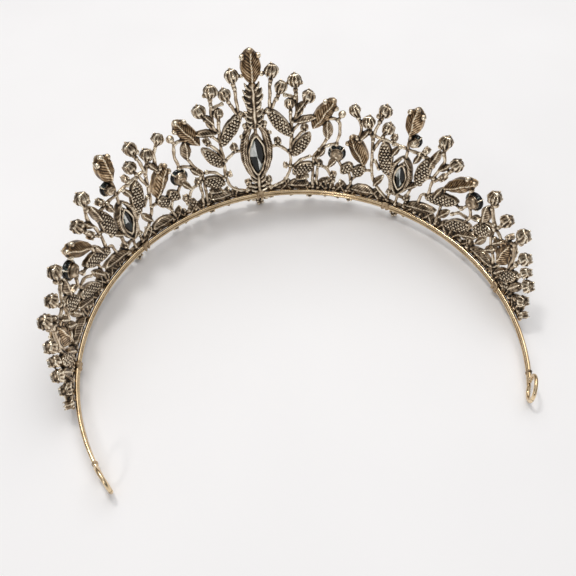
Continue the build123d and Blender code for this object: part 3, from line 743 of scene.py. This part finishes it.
def cloudiness(tree, scale, amount):
    """Noise round zero, from -amount / 2 to amount / 2."""
    return math_node(tree, "MULTIPLY", math_node(tree, "SUBTRACT", noise(tree, scale), 0.5), amount)


def attribute(tree, name):
    return node(tree, "ShaderNodeAttribute", attribute_name=name).outputs["Fac"]


def add_bump(tree, shader, height, strength, distance):
    bump = node(tree, "ShaderNodeBump")
    bump.inputs["Strength"].default_value = strength
    bump.inputs["Distance"].default_value = distance
    tree.links.new(height, bump.inputs["Height"])
    tree.links.new(bump.outputs[0], shader.inputs["Normal"])


def antique_metal():
    """Antiqued bronze gold: rubbed bright on edges and ridges, near black in the recesses."""
    made, tree, shader = new_material("antique_cast_alloy")
    link = tree.links.new
    wear = math_node(tree, "ADD", cloudiness(tree, 260, 0.75), cloudiness(tree, 2400, 0.35))
    for name, amount in (("hollow_fine", -0.22), ("hollow_broad", -0.4), ("relief", 0.11)):
        wear = math_node(tree, "ADD", wear, math_node(tree, "MULTIPLY", attribute(tree, name), amount))
    wear = math_node(tree, "ADD", wear, 0.44, clamp=True)
    bronze = ramp(tree, wear, [(0.16, (0.009, 0.006, 0.004)), (0.38, (0.06, 0.042, 0.027)),
                               (0.55, (0.22, 0.16, 0.105)), (0.74, (0.56, 0.44, 0.31)),
                               (0.93, (0.95, 0.84, 0.66))])
    gilded = ramp(tree, wear, [(0.16, (0.014, 0.008, 0.004)), (0.38, (0.095, 0.057, 0.03)),
                               (0.55, (0.34, 0.225, 0.125)), (0.74, (0.70, 0.52, 0.33)),
                               (0.93, (1.0, 0.89, 0.70))])
    mixed = node(tree, "ShaderNodeMix", data_type="RGBA")
    for socket, value in ((0, attribute(tree, "gilt")), (6, bronze), (7, gilded)):
        link(value, mixed.inputs[socket])
    link(mixed.outputs[2], shader.inputs["Base Color"])
    link(ranged(tree, wear, 0.35, 0.95, 0.1, 0.4), shader.inputs["Metallic"])
    link(ranged(tree, wear, 0.55, 0.2, 0.15, 0.9), shader.inputs["Roughness"])
    add_bump(tree, shader, noise(tree, 1500, 6, 0.7), 0.35, 0.00008)
    return made


def wire_metal(name, low, high, rough_low, rough_high):
    """Smooth drawn wire or solder: cloudy tone, painted shade where parts meet, and a faint grain."""
    made, tree, shader = new_material(name)
    link = tree.links.new
    # cloudy tone less the painted shade; the darkest colour is painted shade where parts meet
    cloud_and_shade = math_node(tree, "SUBTRACT", noise(tree, 140, 5, 0.65), attribute(tree, "painted_shade"))
    painted_shade_colour = tuple(0.12 * value for value in low)
    link(ramp(tree, cloud_and_shade, [(0.0, painted_shade_colour), (0.3, low), (0.66, high)]), shader.inputs["Base Color"])
    shader.inputs["Metallic"].default_value = 1.0
    link(ranged(tree, noise(tree, 160, 3), rough_low, rough_high), shader.inputs["Roughness"])
    add_bump(tree, shader, noise(tree, 300, 3), 0.1, 0.00002)
    return made


def stone_material(name, tones_and_glints, metallic, roughness):
    """Cut glass: each of its facets keeps its own colour, partly the stone's own tone and partly a painted
    reflection, with faint cloudiness and polish marks.
    """
    made, tree, shader = new_material(name)
    # the per-facet value mixes the stone's own tone with painted glints
    tone = math_node(tree, "ADD", attribute(tree, "facet_tone_and_glint"), cloudiness(tree, 700, 0.12), clamp=True)
    tree.links.new(ramp(tree, tone, tones_and_glints), shader.inputs["Base Color"])
    for key, value in (("Metallic", metallic), ("Coat Weight", 0.2), ("Coat Roughness", 0.02),
                       ("Specular IOR Level", 0.3)):
        shader.inputs[key].default_value = value
    rough = ranged(tree, noise(tree, 1800), roughness, roughness + 0.06)
    tree.links.new(rough, shader.inputs["Roughness"])
    return made


ANTIQUE = antique_metal()
BAND_GOLD = wire_metal("band_wire", (0.54, 0.38, 0.21), (0.88, 0.70, 0.46), 0.14, 0.32)
SOLDER = wire_metal("solder", (0.16, 0.11, 0.065), (0.6, 0.45, 0.29), 0.3, 0.55)
# Black glass: the near-black stops are its own colour; the grey-green and near-white stops are painted
# reflections on single facets.
BLACK = stone_material("black_stone", [(0.0, (0.003, 0.003, 0.003)), (0.55, (0.008, 0.010, 0.009)),
                                       (0.72, (0.03, 0.055, 0.045)), (0.84, (0.30, 0.34, 0.31)),
                                       (0.95, (0.88, 0.90, 0.88))], 0.0, 0.03)
# Clear stones: the tones of their facets are painted reflections.
CLEAR = stone_material("clear_stone", [(0.1, (0.30, 0.25, 0.18)), (0.95, (0.96, 0.93, 0.86))], 0.85, 0.04)


# ------------------------------------------------------------------ castings
for layout, extra in FILLING:
    for kind, entries in extra.items():
        layout[kind] += entries
LEFT_HALF, LEFT_SIDE, LEFT_END = flipped(CENTRE_HALF), flipped(SIDE), flipped(END)
GILDED = [entry for layout in (CENTRE_SPINE, CENTRE_HALF, SIDE, END, LEFT_HALF, LEFT_SIDE, LEFT_END)
          for entry in layout["closed"].values()]


def casting_piece(name, shapes, casting):
    """Fuses flat shapes, gilds the backs of the closed settings and bends the whole onto the wall."""
    mesh, points = fused(name, shapes)
    gilt = np.zeros(len(points))
    for foot, tip, width in GILDED:
        du, dv, length = tip[0] - foot[0], tip[1] - foot[1], span(foot, tip)
        x, y = points[:, 0] - (foot[0] + tip[0]) / 2, points[:, 1] - (foot[1] + tip[1]) / 2
        across, up = (x * dv - y * du) / length, (x * du + y * dv) / length
        gilt = np.maximum(gilt, 1.3 - (across / width * 2) ** 2 - (up / length * 2) ** 2)
    store(mesh, "gilt", np.clip(3 * gilt, 0, 1))
    piece(name, mesh, stand(wall(points)), ANTIQUE, [casting])


def between(groups, low, high):
    """Shapes of the elements whose place is from low up to high mm from the middle."""
    return [shape for place, shapes in groups if low <= abs(place[0]) < high for shape in shapes]


def add_centre():
    """The middle spine with its ears of leaves, then the two wings."""
    halves = {"right": elements(CENTRE_HALF), "left": elements(LEFT_HALF)}
    spine = between(elements(CENTRE_SPINE), 0, SPINE_HALF) + rail(-5, 5)
    for foot, tip in (((0, 27.6), (0, 35.6)), ((0, 34.6), (0, 43.4))):
        spine += plain_leaf(foot, tip, 4.9) + fronds(foot, tip, 3.1, 4)
    spine += fronds((0, 0.4), (0, 6.8), 3.6, 3)
    for u, v, size in ((1.6, 5.4, 1.0), (3.3, 3.6, 1.05), (3.9, 1.9, 0.95), (1.3, 2.6, 1.0),
                       (2.3, -3.3, 1.05), (0.9, -3.4, 0.9), (4.6, 24.6, 0.8), (3.2, 28.4, 0.9)):
        spine += bead((-u, v), size) + bead((u, v), size)
    for side in (-1, 1):
        spine += crescent(side, (0, 6.0), (0, 29.4), 2.7, 5.1)
    for groups in halves.values():
        spine += between(groups, 0, SPINE_HALF)
    casting_piece("centre_spine", spine, "centre_casting")
    for word, sign in (("right", 1), ("left", -1)):
        last = CENTRE_SPAN[1] * sign
        wing = between(halves[word], SPINE_HALF, inf)
        wing += rail(4.5 * sign, last) + undergrowth(7.5 * sign, last)
        casting_piece(f"centre_{word}_wing", wing, "centre_casting")


def add_side(word, layout, sign):
    """A side casting in two pieces, parted at its medallion."""
    groups = elements(layout)
    first, last = SIDE_SPAN[0] * sign, SIDE_SPAN[1] * sign
    foot, tip, _ = layout["open"]["medallion_drop_stone"]
    inner = between(groups, 0, SIDE_MIDDLE)
    inner += rail(first, (SIDE_MIDDLE + 1.0) * sign) + undergrowth(first, 45.0 * sign)
    outer = between(groups, SIDE_MIDDLE, inf)
    for side in (-1, 1):
        outer += crescent(side, (foot[0], foot[1] - 1.4), (tip[0], tip[1] + 2.6), 2.2, 3.6)
    outer += rail(SIDE_MIDDLE * sign, last) + undergrowth(54.0 * sign, last)
    casting_piece(f"{word}_side_inner_half", inner, f"{word}_side_casting")
    casting_piece(f"{word}_side_outer_half", outer, f"{word}_side_casting")


def add_end(word, layout, sign):
    first, last = END_SPAN[0] * sign, END_SPAN[1] * sign
    shapes = between(elements(layout), 0, inf) + rail(first, last) + undergrowth(first, 109.0 * sign)
    casting_piece(f"{word}_end_casting_skin", shapes, f"{word}_end_casting")


add_centre()
add_side("right", SIDE, 1)
add_side("left", LEFT_SIDE, -1)
add_end("right", END, 1)
add_end("left", LEFT_END, -1)


# ------------------------------------------------------------------ stones
def lens_ring(length, width, w, count=12):
    """Corners of a pointed outline, anticlockwise from its upper point."""
    turn = np.linspace(0, 2 * pi, count, endpoint=False)
    x = -np.sign(np.sin(turn)) * width / 2 * np.abs(np.sin(turn)) ** 1.5
    return np.column_stack([x, np.cos(turn) * length / 2, np.full(count, w)])


def gem_shell(rings):
    """A closed cut stone through rings of the same number of corners, in facets."""
    count = len(rings[0])
    points = np.concatenate(rings)
    faces = grid_quads(len(rings), count, wrap=True)
    caps = [list(range(count))[::-1], list(range(len(points) - count, len(points)))]
    return points, faces.tolist() + caps


def navette(foot, tip, width, back):
    """A pointed stone with a flat back, or with a faceted back that reaches to w = back."""
    length = span(foot, tip) - 2.2 * RIM - 0.6
    width -= 2 * RIM
    steps = [(0.62, 0.5, -CUP_DEPTH - 0.7), (0.86, 0.82, -CUP_DEPTH - 0.4),
             (1, 1, -CUP_DEPTH), (1, 1, -1.7)]
    if back is not None:
        steps += [(1, 1, -0.6), (0.97, 0.86, -0.2), (0.9, 0.52, back - 0.15), (0.12, 0.05, back)]
    points, faces = gem_shell([lens_ring(length * k, width * m, w) for k, m, w in steps])
    return along(points, foot, tip), faces


def brilliant(centre, radius, sides=12):
    """A small round stone with a flat table."""
    turn = np.linspace(0, 2 * pi, sides, endpoint=False)
    r = radius - RIM
    rings = []
    for k, w, twist in ((0.55, -2.3, 0.5), (0.88, -2.05, 0.0), (1.06, -1.7, 0.5),
                        (1.06, -1.55, 0.5), (0.6, -1.1, 0)):
        angle = turn + twist * pi / sides
        rings.append(np.column_stack([r * k * np.cos(angle), r * k * np.sin(angle), np.full(sides, w)]))
    points, faces = gem_shell(rings)
    return points + (centre[0], centre[1], 0), faces


def cabochon(centre, radius):
    """A smooth domed stone, a little wider than its cup."""
    r = radius + 0.1
    profile = [(0.0, -1.15), (0.8 * r, -1.2), (r, -1.6), (r, -2.3), (0.96 * r, -2.55), (0.82 * r, -2.85),
               (0.55 * r, -3.05), (0.25 * r, -3.12), (0.0, -3.14)]
    points, faces = turned_cup(profile, centre, 40)
    return points, faces.tolist()


def stones(name, shells, material, seed, smooth=False):
    """Cut stones in one piece, each of their facets given a tone and a painted glint, in place of the node
    of the same name.
    """
    points, faces, start = [], [], 0
    for shell_points, shell_faces in shells:
        points.append(shell_points)
        faces += [[index + start for index in dict.fromkeys(face)] for face in shell_faces]
        start += len(shell_points)
    points = np.concatenate(points)
    mesh = bpy.data.meshes.new(name + "_cut")
    mesh.from_pydata(points.tolist(), [], faces)
    # random per facet: low values keep the stone's own tone, high ones are painted glints
    tones_and_glints = np.random.default_rng(seed).random(len(faces)) ** (6.0 if smooth else 1.5)
    # painted glint: a bright streak painted on the facets at one side of these stones
    if name.endswith(PAINTED_GLINT_STONES):
        turn = 2 * pi * (np.arange(len(faces)) % 12 + 0.5) / 12
        painted_glint = np.exp(-((turn - 1.0) / 0.55) ** 2) + 0.7 * np.exp(-((turn - 4.0) / 0.3) ** 2)
        tones_and_glints = np.clip(0.4 * tones_and_glints + painted_glint, 0, 1)
    store(mesh, "facet_tone_and_glint", tones_and_glints, "FACE")
    piece(name + "_cut", mesh, stand(wall(points)), material, [name], smooth)


def small_stones(layout):
    seats = [(centre, radius) for centre, radius in layout["cup"] if radius > SMALLEST_SET_CUP]
    seats += [(head, radius) for head, _, radius in layout["bud"]]
    return [brilliant(*seat) for seat in seats]


def pave_stones(layout):
    found = []
    for foot, tip, width in layout["pave"]:
        for share, size in PAVE_STONES:
            centre = [a + share * (b - a) for a, b in zip(foot, tip)]
            points, faces = brilliant(centre, size * width + RIM, 10)
            found.append((points + (0, 0, 0.6), faces))
    return found


# stones with a painted glint: a bright streak painted on their facets at one side
PAINTED_GLINT_STONES = ("centre_stone", "medallion_drop_stone")
BACKS = {"closed": None, "open": 0.4}                  # w of a pointed stone's faceted back
PANELS = (("centre", "", CENTRE_SPINE), ("centre", "right_", CENTRE_HALF), ("centre", "left_", LEFT_HALF),
          ("right_side", "right_", SIDE), ("left_side", "left_", LEFT_SIDE),
          ("right_end", "right_", END), ("left_end", "left_", LEFT_END))


def add_stones():
    small, chips = {}, {}
    for seed, (panel, prefix, layout) in enumerate(PANELS, 1):
        small.setdefault(panel, []).extend(small_stones(layout))
        chips.setdefault(panel, []).extend(pave_stones(layout))
        for kind, back in BACKS.items():
            for name, entry in layout[kind].items():
                stones(prefix + name, [navette(*entry, back)], BLACK, seed)
        for name, entry in layout["round"].items():
            stones(prefix + name, [cabochon(*entry)], BLACK, seed, smooth=True)
    for seed, panel in enumerate(small):
        stones(panel + "_bud_stones", small[panel], CLEAR, 20 + seed)
        stones(panel + "_pave_stones", chips[panel], CLEAR, 40 + seed)


add_stones()


# ------------------------------------------------------------------ band
def arc(height, reach):
    """A run of band wire at a height, from one side to the other."""
    angle = np.linspace(-reach, reach, BAND_STEPS)
    return np.column_stack([BAND_R * np.sin(angle), BAND_R * np.cos(angle), np.full(BAND_STEPS, height)])


def eye_path(side):
    """The curl of wire at one end, from where it leaves the lower run round to the upper run."""
    start = atan2(-EYE_LIFT, -sqrt(EYE_R**2 - EYE_LIFT**2))
    turn = np.linspace(start, start + 2 * pi - EYE_GAP, 60)
    middle = EYE_ARC * side
    tangent = side * np.array([cos(middle), -sin(middle), 0])
    centre = np.array([BAND_R * sin(middle), BAND_R * cos(middle), LOWER + EYE_LIFT])
    return centre + EYE_R * (np.cos(turn)[:, None] * tangent + np.sin(turn)[:, None] * np.array([0, 0, 1.0]))


def band_piece(name, path, facing, wire_node):
    """A run of wire, with painted shade where it meets the other run; facing gives the way there from its
    middle.
    """
    points, faces = tube(path, WIRE_R, BAND_SIDES)
    mesh = to_mesh(name, points, faces)
    towards = facing(points[:, 2]) / WIRE_R
    beside = np.abs(np.arctan2(points[:, 0], points[:, 1])) < EYE_ARC - 0.02
    # painted shade: darkens the side of the wire that faces the other run, everywhere but the eyes
    store(mesh, "painted_shade", np.clip(towards - 0.6, 0, 1) * beside * (towards < 1.05))
    piece(name, mesh, stand(points), BAND_GOLD, [wire_node])


def add_band():
    reach_low = EYE_ARC - sqrt(EYE_R**2 - EYE_LIFT**2) / BAND_R
    reach_up = EYE_ARC - sqrt(EYE_R**2 - (UPPER - LOWER - EYE_LIFT) ** 2) / BAND_R
    lower_path = np.concatenate([eye_path(-1)[::-1], arc(LOWER, reach_low)[1:-1], eye_path(1)])
    band_piece("lower_band_and_eyes", lower_path, lambda z: z - LOWER, "lower_band_wire")
    band_piece("upper_band", arc(UPPER, reach_up), lambda z: UPPER - z, "upper_band_wire")


# ------------------------------------------------------------------ solder
def solder_piece(name, shapes, solder_node):
    mesh, points = fused(name, shapes, SOLDER_VOXEL)
    depth = WALL_R - np.hypot(points[:, 0], points[:, 1])
    # painted shade: the solder darkens towards the casting it sits against
    store(mesh, "painted_shade", np.clip(0.3 - 0.3 * depth, 0, 0.6))
    piece(name, mesh, stand(points), SOLDER, [solder_node])


def lump(angle, w, height, radii, wobble):
    """An uneven drop of solder on the band."""
    points, faces = ball((0, 0, 0), 1.0, 18)
    swell = 1 + 0.1 * np.sin(5 * points[:, :1] + wobble) + 0.08 * np.cos(7 * points[:, 1:2] + wobble)
    x, y, z = (points * swell * radii).T
    radius = BAND_R - w - z
    turn = angle + x / BAND_R
    return np.stack([radius * np.sin(turn), radius * np.cos(turn), y + height], 1), faces


def add_solder():
    """Three drops at each joint behind a casting, and one round each neck."""
    middle = (LOWER + UPPER) / 2
    drops = []
    for order, u in enumerate(SOLDER_PLACES):
        for offset in (-0.75, 0.75):
            drops.append(lump((u + offset) / WALL_R, 0.35, middle, (0.62, 1.62, 0.75), order + offset))
        drops.append(lump(u / WALL_R, 0.1, UPPER + 0.5, (1.5, 0.8, 0.8), order + 2))
    solder_piece("casting_solder", drops, "casting_solder_joints")
    necks = [lump(side * NECK_ARC, 0.0, middle, (0.75, 1.5, 0.85), side) for side in (-1, 1)]
    solder_piece("neck_solder", necks, "neck_solder_wraps")


add_band()
add_solder()


# ------------------------------------------------------------------ floor, light and camera, in metres
FLOOR_HALF = 3.0
# name, place, target, size, power, colour
LIGHTS = (("window", (0.16, 0.30, 0.72), (0, 0, 0.02), 0.9, 2.7, (1.0, 0.99, 0.97)),
          ("lamp", (-0.10, 0.16, 0.55), (0, 0.02, 0.03), 0.08, 0.6, (1.0, 0.98, 0.95)),
          ("front_lamp", (-0.25, -0.45, 0.30), (0, 0.02, 0.03), 0.1, 0.35, (1.0, 0.97, 0.93)))
CAMERA_AZIMUTH, CAMERA_ELEVATION, CAMERA_ROLL = radians(-12.06), radians(52.59), radians(-0.66)
CAMERA_LENS, CAMERA_SENSOR = 38.25, 36.0
APEX_FROM_CAMERA = Vector((-10.2, 34.6, -221.5))  # middle of the band in the camera's axes, mm
BAND_APEX = 66.2  # distance of that middle from the band's axis, mm


def add_floor():
    corners = np.array([[-1, -1, 0], [1, -1, 0], [1, 1, 0], [-1, 1, 0]]) * FLOOR_HALF
    mesh = to_mesh("floor", corners, np.array([[0, 1, 2, 3]]))
    floor = bpy.data.objects.new("floor", mesh)
    bpy.context.scene.collection.objects.link(floor)
    made, tree, shader = new_material("pale_cloth")
    tone = ramp(tree, noise(tree, 6, 3), [(0.3, (0.90, 0.89, 0.895)), (0.7, (0.95, 0.94, 0.945))])
    tree.links.new(tone, shader.inputs["Base Color"])
    shader.inputs["Roughness"].default_value = 0.9
    mesh.materials.append(made)


def area_light(name, place, target, size, power, colour):
    data = bpy.data.lights.new(name, "AREA")
    data.shape = "DISK"
    data.size, data.energy, data.color = size, power, colour
    light = bpy.data.objects.new(name, data)
    light.location = place
    light.rotation_euler = (Vector(target) - Vector(place)).to_track_quat("-Z", "Y").to_euler()
    bpy.context.scene.collection.objects.link(light)


def add_world():
    """A soft room with a dark band just above its floor, so that the metal keeps its contrast."""
    world = bpy.data.worlds.new("soft_room")
    bpy.context.scene.world = world
    world.use_nodes = True
    tree = world.node_tree
    height = node(tree, "ShaderNodeSeparateXYZ")
    tree.links.new(node(tree, "ShaderNodeTexCoord").outputs["Generated"], height.inputs[0])
    sky = ramp(tree, height.outputs["Z"], [(0.0, (0.80, 0.80, 0.80)), (0.12, (0.72, 0.72, 0.72)),
                                           (0.22, (0.10, 0.10, 0.10)), (0.42, (0.14, 0.14, 0.14)),
                                           (0.68, (0.78, 0.79, 0.81)), (1.0, (1.0, 1.0, 1.0))])
    background = tree.nodes["Background"]
    tree.links.new(sky, background.inputs["Color"])
    background.inputs["Strength"].default_value = 0.72


def add_camera():
    """The camera at the viewing angle of the reference, placed from the middle of the band."""
    a, e, r = CAMERA_AZIMUTH, CAMERA_ELEVATION, CAMERA_ROLL
    back = Vector((sin(a) * cos(e), -cos(a) * cos(e), sin(e)))
    right = Vector((0, 0, 1)).cross(back).normalized()
    up = back.cross(right)
    right, up = right * cos(r) + up * sin(r), up * cos(r) - right * sin(r)
    axes = Matrix((right, up, back))
    centre = Vector((0, BAND_APEX, 0)) - axes.transposed() @ APEX_FROM_CAMERA
    tilt = Matrix.Rotation(STAND_TILT, 3, "X")
    data = bpy.data.cameras.new("camera")
    data.sensor_width = CAMERA_SENSOR
    data.lens = CAMERA_LENS
    camera = bpy.data.objects.new("camera", data)
    place = Vector(stand(np.array([centre]))[0])
    camera.matrix_world = Matrix.Translation(place) @ (tilt @ axes.transposed()).to_4x4()
    bpy.context.scene.collection.objects.link(camera)
    bpy.context.scene.camera = camera


add_floor()
add_world()
add_camera()
for light_values in LIGHTS:
    area_light(*light_values)
bpy.context.scene.view_settings.view_transform = "Standard"
